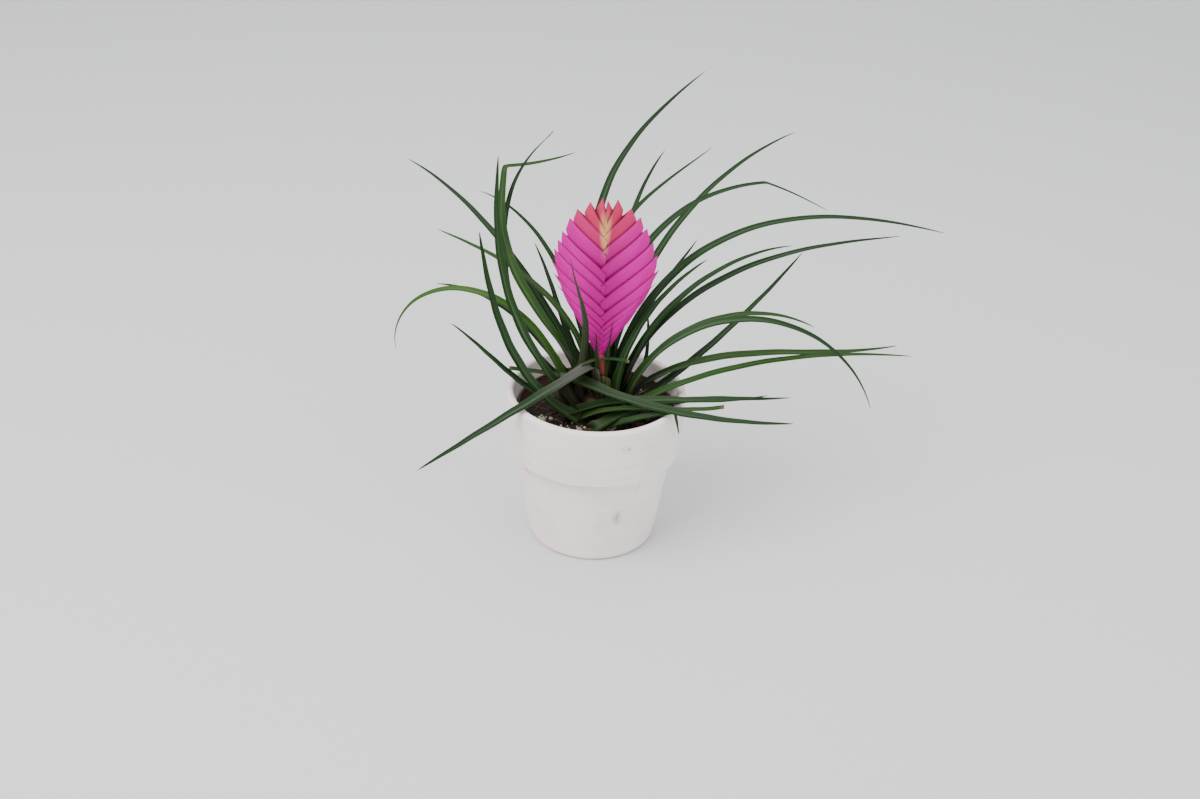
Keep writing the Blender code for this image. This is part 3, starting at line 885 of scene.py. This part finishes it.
FORMS = (
    leaf("left_1", (183, 18, 97), (158, 178), (72, 13, -98), 165.6, 6.8, tint=LeafTint.FRESH),
    leaf("left_2", (160, 15, 98), (158, 176), (52, 38, -3), 109, 5.4),
    leaf("left_3", (190, 22, 90), (191, 184), (26, 46, 40), 88, 6.0),
    leaf("left_4", (236, 24, 90), (174, 129), (29, 63, 77), 131, 7.6),
    leaf("left_5", (135, 12, 101), (138, 145), (53, 37, 11), 185, 6.2),
    leaf("left_6", (135, 8, 102), (152, 147), (89, 26, 6), 147, 5.4, tint=LeafTint.MIDDLE),
    leaf("back_1", (210, 16, 93), (186, 74), (51, 62, 80), 162, 7.2),
    leaf("back_2", (155, 12, 98), (215, 27), (78, 51, 103), 196, 7.2, (0.76, -79, -27),
         tint=LeafTint.MIDDLE),
    leaf("back_3", (150, 16, 96), (166, 103, -86), (21, 73, 31), 192, 5.4),
    leaf("back_4", (112, 13, 101), (139, 122), (40, 58, 34), 91, 4.8),
    leaf("back_5", (105, 8, 102), (132, 155), (69, 54, 6), 142, 4.8),
    leaf("back_6", (184, 9, 102), (294, 231), (92, 60, 77), 112, 5.0),
    leaf("back_7", (80, 7, 102), (122, 23), (83, 39, 35), 228, 6.6),
    leaf("back_8", (72, 11, 102), (73, 57), (82, 63, 25), 151, 5.4),
    leaf("back_9", (95, 13, 100), (109, 17), (90, 31, 36), 185, 5.0),
    leaf("right_1", (72, 17, 99), (56, 38), (70, 34, 8), 218, 5.8),
    leaf("right_2", (50, 15, 98), (67, 14), (114, 21, -10), 248, 5.8, (0.77, -20, 7)),
    leaf("right_3", (38, 16, 98), (50, -10), (81, 15, -8), 258, 6.8),
    leaf("right_4", (15, 13, 100), (39, 46), (89, 47, 38), 107, 5.0),
    leaf("right_5", (350, 13, 98), (40, 42), (91, 43, 13), 108, 5.4),
    leaf("right_6", (12, 16, 96), (15, 29), (81, 37, -6), 152, 5.8),
    leaf("right_7", (26, 19, 95), (15, 25), (81, 18, -3), 219, 5.8),
    leaf("right_8", (2, 19, 94), (13, 6), (73, 21, -29), 140, 6.4, tint=LeafTint.MIDDLE),
    leaf("right_9", (346, 20, 93), (9, -8), (80, 0, -70), 201, 6.6),
    leaf("right_10", (346, 21, 89), (29, 34), (27, 33, 42), 147, 6.0),
    leaf("right_11", (12, 21, 92), (-8, 13), (55, 5, 8), 173, 7.0, tint=LeafTint.MIDDLE),
    leaf("right_12", (335, 20, 91), (5, 4), (34, 11, -4), 179, 5.6, tint=LeafTint.MIDDLE),
    leaf("front_1", (248, 4, 100), (215, 211), (85, 82, 80), 141, 7.6, (0.13, -100, 0), pale=0.42),
    leaf("front_2", (205, 16, 110), (-24, -22), (-10, 3, 16), 140, 7.6, pale=0.1),
    leaf("front_3", (228, 19, 91), (-2, -17), (29, 7, 26), 119, 6.6),
    leaf("front_4", (281, 26, 90), (25, -45), (23, 12, 29), 121, 6.2),
    leaf("front_5", (255, 20, 92), (-7, -8), (30, 5, 18), 84, 4.4, tint=LeafTint.MIDDLE, cut=3.2),
    leaf("small_1", (270, 5, 102), (180, 170), (88, 88, 88), 40, 4.4),
    leaf("small_2", (330, 6, 100), (20, 10), (88, 86, 85), 64, 4.4),
    leaf("small_3", (190, 12, 108), (176, 172), (10, 4, 0), 42, 4.6, cut=3.2, pale=0.4),
    leaf("small_4", (195, 20, 102), (8, -5), (88, 24, -12), 50, 3.4, cut=2.2),
    leaf("small_5", (20, 23, 97), (10, 150), (50, 76, 78), 57, 3.0),
    leaf("small_6", (282, 28, 89), (-2, -20), (27, 20, 14), 59, 5.4, (0.75, -90, -10)),
)


@dataclass
class LeafShape:
    """Turns one leaf's form into points on its skin."""

    form: LeafForm
    step: float = 1.6 * MM
    root_steps: int = 12
    foot_flare: float = 1.58
    flare_loss: float = 0.48
    flare_end: float = 0.26
    root_flare: float = 0.45
    taper: float = 0.56
    light: Vector = field(default_factory=lambda: Vector((0.0, -0.86, 0.51)))
    middles: list[Vector] = field(default_factory=list)
    bearings: list[float] = field(default_factory=list)
    shares: list[float] = field(default_factory=list)

    def __post_init__(self) -> None:
        """Walk the midrib, from inside the crown to the tip."""
        form = self.form
        turn = math.radians(form.foot[0])
        foot = Vector((form.foot[1] * math.cos(turn), form.foot[1] * math.sin(turn),
                       form.foot[2])) * MM
        count = max(24, round(form.length * MM / self.step))
        point = foot.copy()
        for index in range(count + 1):
            share = index / count
            self.middles.append(point.copy())
            self.bearings.append(self.heading(share)[1])
            self.shares.append(share)
            point += form.length * MM / count * aimed(*self.heading(min(1.0, share + 0.5 / count)))
        self.add_root(foot)

    def heading(self, share: float) -> tuple[float, float]:
        """Slope and bearing of the midrib.

        Args:
            share: how far along the leaf.

        Returns:
            Both angles, in radians.
        """
        form = self.form
        slope = between(form.rise, share)
        bearing = between(form.bearing, share)
        if form.fold:
            after = eased(form.fold[0] - 0.008, form.fold[0] + 0.012, share)
            slope += form.fold[1] * after
            bearing += form.fold[2] * after
        return math.radians(slope), math.radians(bearing)

    def add_root(self, foot: Vector) -> None:
        """Carry the leaf down from its foot into the crown.

        Args:
            foot: where the leaf's own form starts.
        """
        slope, bearing = self.heading(0.0)
        along = aimed(slope, bearing)
        start = Vector((foot.x * 0.34, foot.y * 0.34, foot.z - 15 * MM))
        start.z = min(start.z, 0.084)
        guide = foot - along * 9 * MM
        guide.z = max(guide.z, start.z + 2 * MM)
        for index in range(self.root_steps):
            t = index / self.root_steps
            point = start * (1 - t) ** 2 + guide * 2 * t * (1 - t) + foot * t * t
            self.middles.insert(index, point)
            self.bearings.insert(index, bearing)
            self.shares.insert(index, (t - 1) * 0.10)

    def half_width(self, share: float) -> float:
        """Half of the leaf's width.

        Args:
            share: how far along the leaf; negative inside the crown.

        Returns:
            Half width in metres.
        """
        full = 0.5 * self.form.width * MM
        if share < 0.0:
            return full * (self.foot_flare + self.root_flare * min(1.0, -share * 10.0))
        flare = self.foot_flare - self.flare_loss * eased(0.0, self.flare_end, share)
        blade = full * flare * (1 - share) ** self.taper
        return max(blade, self.form.cut * MM * 0.5)

    def place(self, turn: float, share: float) -> Sample:
        """Point on the leaf's skin.

        Args:
            turn: share of the way round the section.
            share: share of the way from the root to the tip.

        Returns:
            The point and its attributes.
        """
        last = len(self.middles) - 1
        spot = share * last
        index = min(last - 1, int(spot))
        part = spot - index
        middle = self.middles[index].lerp(self.middles[index + 1], part)
        before = self.middles[max(0, index - 1)]
        after = self.middles[min(last, index + 2)]
        along = (after - before).normalized()
        where = self.shares[index] + (self.shares[index + 1] - self.shares[index]) * part
        bearing = self.bearings[index] + (self.bearings[index + 1] - self.bearings[index]) * part
        across = Vector((-math.sin(bearing), math.cos(bearing), 0.0))
        across = (across - along * across.dot(along)).normalized()
        lean = 9.0 * noise.noise(
            Vector((where * 3.0, self.form.length * 0.37, self.form.foot[0] * 0.11)))
        across = Matrix.Rotation(math.radians(lean), 3, along) @ across
        over = along.cross(across)
        window = self.light - along * along.dot(self.light)
        over = (over + window * 0.55 * eased(0.05, 0.45, where)).normalized()
        across = over.cross(along)
        half = self.half_width(where)
        angle = turn * math.tau
        reach = math.cos(angle)
        channel = 0.46 + 0.5 * eased(0.0, -0.1, where) if where < 0 else 0.46 - 0.16 * where
        groove = half * channel * (abs(reach) ** 1.55)
        thick = (0.62 - 0.30 * max(0.0, where)) * MM
        bulge = thick * 0.5 * math.sin(angle)
        keel = -0.35 * MM * (1 - abs(reach)) * (1.0 if math.sin(angle) < 0 else 0.0)
        waver = 0.05 * half * math.sin(where * 37.0 + self.form.foot[0])
        point = (middle + across * (reach * half + waver)
                 + over * (groove + bulge + keel * max(0.0, 1 - where)))
        below = 0.5 - 0.5 * max(-1.0, min(1.0, math.sin(angle) * 4.0))
        tone = (self.form.foot[0] * 7.3 + self.form.length * 1.7) % 10 / 10
        # painted sheen: where the pale patch lies along the leaf
        pale = self.form.pale * eased(0.09, 0.13, where) * (1 - eased(0.16, 0.46, where))
        return point, {"pale": pale, "across": reach, "along": max(0.0, where), "below": below,
                       "reach": where * self.form.length * MM, "tone": tone,
                       "age": self.form.tint.value}


@dataclass
class Rosette:
    """All the leaves, and the crown that they grow from."""

    around: int = 18

    def crown(self) -> BMesh:
        """Short stem, ringed by leaf scars and domed on top."""
        low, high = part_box("crown")
        radius = high.x
        profile = [(0.0, low.z), (radius * 0.7, low.z)]
        for scar in range(1, 7):
            share = scar / 6
            height = low.z + (high.z - 7 * MM - low.z) * share
            size = radius * (0.72 + 0.22 * share)
            profile += [(size - 0.6 * MM, height - 1.6 * MM), (size, height - 0.3 * MM)]
        for angle in range(15, 91, 15):
            turn = math.radians(angle)
            profile.append((radius * 0.92 * math.cos(turn), high.z - 7 * MM + 7 * MM * math.sin(turn)))
        return spun(profile, 48)

    def build(self) -> None:
        """Make and dress every leaf and the crown."""
        skin = LeafSkin().build()
        for form in FORMS:
            shape = LeafShape(form)
            bm = rolled(self.around, len(shape.middles) - 1, shape.place)
            nodes = [form.name] if form.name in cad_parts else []
            dressed(bm, form.name.replace("leaf_", "blade_"), skin, "leaf", *nodes, crease=80.0)
        wood = StemSkin("crown_wood", (0.035, 0.024, 0.012), (0.07, 0.05, 0.02), (0.03, 0.045, 0.012))
        dressed(self.crown(), "crown_stem", wood.build(), "crown_wood", "crown")


# --- flower ----------------------------------------------------------------
class Rank(Enum):
    """The flower's two rows of bracts, by the side that they point to."""

    RIGHT = 1
    LEFT = -1


# reach from the axis and height of every bract's tip, from the lowest up, in millimetres
TIPS = {
    Rank.RIGHT: ((9.0, 140.0), (15.0, 148.4), (20.5, 156.8), (26.0, 165.2), (31.0, 173.2),
                 (32.6, 182.3), (30.8, 190.8), (28.0, 199.0), (24.0, 207.4), (20.0, 214.2),
                 (14.3, 219.4), (6.6, 224.8), (0.8, 224.0)),
    Rank.LEFT: ((12.0, 144.2), (17.0, 152.6), (22.0, 161.0), (27.0, 169.4), (29.6, 177.5),
                (30.7, 185.0), (29.2, 192.8), (27.2, 198.6), (24.8, 204.0), (20.6, 212.2),
                (16.4, 218.0), (9.1, 222.6), (2.0, 225.5)),
}


@dataclass
class Quill:
    """The flat flower: two ranks of folded bracts, shingled up one stalk."""

    axis_x: float = 2.0 * MM
    half_depth: float = 3.3 * MM
    lift: float = 0.55 * MM
    notch: float = 1.7 * MM
    skin: float = 0.38 * MM
    per_rank: int = 10
    low: float = 132.0 * MM
    high: float = 226.0 * MM
    keel_share: float = 0.66        # of the keel, that lies against the bract below
    climb_share: float = 0.84       # rise of a free margin over its reach

    def tip(self, rank: Rank, index: int) -> Vector:
        """Tip of a bract, as its reach and its height.

        Args:
            rank: which side it points to.
            index: its place in its rank; -1 is one step below the lowest.

        Returns:
            A point in the plane of the quill, on the right.
        """
        tips = TIPS[rank]
        if index < 0:
            return Vector((tips[0][0] - 6.5, 0.0, tips[0][1] - 8.0)) * MM
        return Vector((tips[index][0], 0.0, tips[index][1])) * MM

    def bract(self, rank: Rank, index: int, bm: BMesh | None = None
              ) -> BMesh:
        """One folded bract: keel outside, free margins to the front and the back.

        Args:
            rank: which side it points to.
            index: its place in its rank.
            bm: the mesh to add to, or None for a new one.

        Returns:
            The mesh.
        """
        tip = self.tip(rank, index)
        under = self.tip(rank, index - 1)
        open_ = eased(160 * MM, 185 * MM, tip.z)
        under.z = min(under.z + 0.3 * MM + 0.9 * MM * open_, tip.z - 6.4 * MM)
        under.x = max(0.6 * MM, min(under.x - 0.4 * MM - self.notch * open_, tip.x + 3.2 * MM))
        climb = self.climb_share * tip.x + 3.0 * MM + 10.0 * MM * eased(218 * MM, 225 * MM, tip.z)
        start = Vector((0.0, 0.0, tip.z - climb - 15 * MM))
        guide = Vector((under.x * (0.6 + 0.25 * open_), 0.0, start.z + (under.z - start.z) * 0.42))
        centre = Vector((-1.2 * MM, 0.0, tip.z - climb - 0.4 * MM))
        rung = (tip.z - self.low) / (self.high - self.low)
        tone = (index * 0.618 + rank.value * 0.2) % 1.0

        def place(turn: float, share: float) -> Sample:
            """Point on the bract's skin."""
            inner = turn > 0.5
            walk = (turn - 0.5) * 2 if inner else turn * 2
            side = (1 - 2 * walk) if inner else (2 * walk - 1)
            flank = abs(side)
            s = 1 - (1 - share) ** 1.25
            part = min(1.0, s / self.keel_share)
            keel = start * (1 - part) ** 2 + guide * 2 * part * (1 - part) + under * part * part
            keel = keel.lerp(tip, max(0.0, s - self.keel_share) / (1 - self.keel_share))
            free = centre.lerp(tip, s)
            free.z += 0.05 * climb * math.sin(math.pi * s) * (1 - 2.2 * s)
            narrow = max(0.0, 1 - s)
            wall = self.skin * (1 - flank ** 6) * min(1.0, narrow * 8)
            span = (free - keel).length
            inset = wall / span if inner and span > 1e-6 else 0.0
            spot = keel.lerp(free, flank + (1 - flank) * inset)
            depth = self.half_depth * narrow ** 0.72 * (1 - (1 - flank) ** 2.6)
            depth += self.lift * flank ** 1.5 * min(1.0, narrow * 4)
            if inner:
                # near the tip both inner walls reach the middle plane and merge,
                # which leaves a few open and over-shared edges inside the fold
                depth = max(0.0, depth - wall)
            spot.x = self.axis_x + rank.value * spot.x
            spot.y = math.copysign(depth, side)
            return spot, {"spread": s, "flank": flank, "rung": rung, "tone": tone}

        return rolled(44, 26, place, bm)

    def build(self) -> None:
        """Make and dress every bract."""
        skin = BractSkin().build()
        crest = bmesh.new()
        for rank in Rank:
            side = rank.name.lower()
            for index in range(self.per_rank):
                dressed(self.bract(rank, index), f"quill_{side}_{index + 1}", skin,
                        "bract", f"bract_{side}_{index + 1}", crease=70.0)
            for index in range(self.per_rank, len(TIPS[rank])):
                self.bract(rank, index, crest)
        dressed(crest, "quill_top", skin, "crest", "quill_crest", crease=70.0)


@dataclass
class Stalk:
    """The flower's stalk, with the green sheath and the red bract that clasp it."""

    foot: Vector = field(default_factory=lambda: Vector((5.5, -1.0, 86.0)) * MM)
    bend: Vector = field(default_factory=lambda: Vector((5.5, -1.0, 99.2)) * MM)
    neck: Vector = field(default_factory=lambda: Vector((2.0, 0.0, 125.0)) * MM)
    top: float = 205.0 * MM
    radius: float = 2.3 * MM
    rachis: float = 1.1 * MM

    def centre(self, height: float) -> Vector:
        """Centre of the stalk at a height."""
        ease = eased(self.bend.z, self.neck.z, height)
        point = self.bend.lerp(self.neck, ease)
        point.z = height
        return point

    def girth(self, height: float) -> float:
        """Radius of the stalk at a height."""
        share = min(1.0, max(0.0, (height - self.bend.z) / (self.top - self.bend.z)) * 1.6)
        return self.radius + (self.rachis - self.radius) * share

    def stem(self) -> BMesh:
        """The stalk itself, with a faint swelling at each bract."""
        def place(turn: float, share: float) -> Sample:
            """Point on the stalk's skin."""
            height = self.foot.z + (self.top - self.foot.z) * share
            radius = self.girth(height) * (1 + 0.05 * math.cos(height / MM * 0.6))
            angle = turn * math.tau
            return (self.centre(height) + Vector((math.cos(angle), math.sin(angle), 0)) * radius,
                    {"along": min(1.0, share * 3)})
        return rolled(20, 60, place)

    def clasp(self, low: float, high: float, reach: float, flare: float) -> BMesh:
        """A bract wrapped round the stalk's front.

        Args:
            low: height of its foot.
            high: height of its blunt tip.
            reach: how far round it goes to each side, in degrees.
            flare: how far its tip stands off.

        Returns:
            The mesh.
        """
        def place(turn: float, share: float) -> Sample:
            """Point on the bract's skin."""
            angle = turn * math.tau
            spread = reach * math.sqrt(max(0.0, 1 - share ** 3)) + 10
            across = math.cos(angle)
            wall = 0.35 * MM * math.sin(angle)
            height = low + (high - low) * share * (1 - 0.12 * across * across * share)
            radius = self.girth(low) + 0.75 * MM + flare * share + wall
            facing = math.radians(-90 + spread * across)
            return (self.centre(height) + Vector((math.cos(facing), math.sin(facing), 0)) * radius,
                    {"along": share})
        return rolled(28, 18, place)

    def build(self) -> None:
        """Make and dress the stalk and its two bracts."""
        red = StemSkin("stalk_red", (0.095, 0.022, 0.013), (0.17, 0.055, 0.025), (0.26, 0.03, 0.05))
        dressed(self.stem(), "quill_stalk", red.build(), "stalk", "flower_stalk")
        olive = StemSkin("sheath_olive", (0.034, 0.058, 0.014), (0.070, 0.066, 0.022),
                         (0.075, 0.085, 0.030))
        low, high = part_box("stalk_sheath")
        dressed(self.clasp(low.z - 4 * MM, high.z, 88, 1.6 * MM), "green_sheath", olive.build(),
                "sheath", "stalk_sheath", crease=80.0)
        low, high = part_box("stalk_bract")
        rose = StemSkin("bract_rose", (0.13, 0.026, 0.016), (0.21, 0.05, 0.03), (0.34, 0.035, 0.075))
        dressed(self.clasp(low.z - 2 * MM, high.z + 3 * MM, 82, 0.9 * MM), "rose_bract",
                rose.build(), "stalk", "stalk_bract", crease=80.0)


# --- studio ----------------------------------------------------------------
@dataclass
class Studio:
    """Floor, soft lights and the camera."""

    eye: Vector = field(default_factory=lambda: Vector((0.0026, -0.7792, 0.5453)))
    pitch: float = 30.13
    roll: float = 2.17
    lens: float = 44.17

    def camera(self) -> None:
        """Set the camera up, looking along +Y and down on the pot."""
        data = bpy.data.cameras.new("camera")
        data.lens = self.lens
        data.sensor_width = 36.0
        data.clip_start = 0.01
        view = bpy.data.objects.new("camera", data)
        bpy.context.scene.collection.objects.link(view)
        pitch, roll = math.radians(self.pitch), math.radians(self.roll)
        ahead = Vector((0.0, math.cos(pitch), -math.sin(pitch)))
        up = Vector((0.0, math.sin(pitch), math.cos(pitch)))
        right = Vector((1.0, 0.0, 0.0))
        side = right * math.cos(roll) + up * math.sin(roll)
        top = up * math.cos(roll) - right * math.sin(roll)
        turned = Matrix((side, top, -ahead)).transposed()
        view.matrix_world = Matrix.Translation(self.eye) @ turned.to_4x4()
        bpy.context.scene.camera = view

    def floor(self) -> None:
        """A pale floor that sweeps up into a backdrop."""
        bm = bmesh.new()
        bmesh.ops.create_grid(bm, x_segments=40, y_segments=80, size=3.0)
        for vert in bm.verts:
            rise = max(0.0, vert.co.y - 1.3)
            vert.co.z = 1.2 * rise * rise
        mesh = bpy.data.meshes.new("studio_floor")
        bm.to_mesh(mesh)
        bm.free()
        mesh.shade_smooth()
        mesh.materials.append(Backdrop().build())
        floor = bpy.data.objects.new("studio_floor", mesh)
        bpy.context.scene.collection.objects.link(floor)

    def light(self, name: str, spot: tuple[float, float, float], size: float, power: float,
              colour: Colour) -> None:
        """Add one soft square light that looks at the plant.

        Args:
            name: the light's name.
            spot: where it hangs.
            size: its side.
            power: its watts.
            colour: its colour.
        """
        data = bpy.data.lights.new(name, "AREA")
        data.size = size
        data.energy = power
        data.color = colour
        lamp = bpy.data.objects.new(name, data)
        bpy.context.scene.collection.objects.link(lamp)
        lamp.location = spot
        aim = Vector((0.0, 0.0, 0.13)) - Vector(spot)
        lamp.rotation_euler = aim.to_track_quat("-Z", "Y").to_euler()

    def build(self) -> None:
        """Set up floor, lights, sky and camera."""
        self.floor()
        self.light("key_light", (-0.9, -0.8, 1.5), 1.3, 38.0, (1.0, 0.985, 0.965))
        self.light("fill_light", (1.3, -0.9, 0.9), 1.6, 13.0, (0.97, 0.985, 1.0))
        self.light("top_light", (0.1, 0.5, 1.8), 1.6, 17.0, (1.0, 1.0, 1.0))
        world = bpy.data.worlds.new("soft_sky")
        world.use_nodes = True
        sky = world.node_tree.nodes["Background"]
        sky.inputs["Color"].default_value = (0.92, 0.94, 0.96, 1.0)
        sky.inputs["Strength"].default_value = 0.90
        bpy.context.scene.world = world
        self.camera()


def main() -> None:
    """Build every sub-assembly in order."""
    logging.basicConfig(level=logging.INFO, format="%(name)s %(message)s")
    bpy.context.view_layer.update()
    for part in (Studio(), Pots(), Mix(), Rosette(), Stalk(), Quill()):
        LOG.info("building %s", type(part).__name__)
        part.build()


if __name__ == "__main__":
    main()
